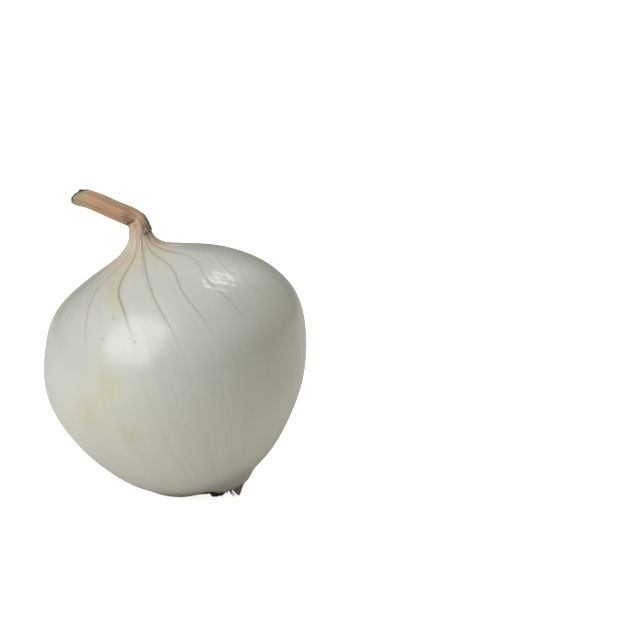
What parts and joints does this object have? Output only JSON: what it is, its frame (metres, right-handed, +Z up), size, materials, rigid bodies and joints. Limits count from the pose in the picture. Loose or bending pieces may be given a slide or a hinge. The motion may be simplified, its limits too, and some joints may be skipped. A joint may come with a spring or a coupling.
{
  "type": "onion",
  "caption": "Whole white onion resting on its flank, a round bulb with a thin neck, a bent dried stalk and a root plate with dry rootlets.",
  "frame": {"origin": "middle of the flat spot that the onion rests on, straight under its middle of mass", "axes": "+Z up, +X to the side that the root end points to, so the neck and stalk lean towards -X; +Y completes a right-handed frame"},
  "size_m": [0.0837, 0.086, 0.0998],
  "materials": {
    "white_skin": "satin",
    "dry_stalk": "matte",
    "neck_sheath": "matte",
    "root_plate": "matte",
    "rootlet": "matte",
    "skin_flap": "matte"
  },
  "bodies": {
    "root": {"bulb": "white_skin", "dry_stalk": "dry_stalk", "neck_sheath": "neck_sheath", "root_plate": "root_plate", "skin_flap": "skin_flap", "root_01": "rootlet", "root_02": "rootlet", "root_03": "rootlet", "root_04": "rootlet", "root_05": "rootlet", "root_06": "rootlet", "root_07": "rootlet", "root_08": "rootlet", "root_09": "rootlet", "root_10": "rootlet", "root_11": "rootlet", "root_12": "rootlet"}
  },
  "joints": []
}
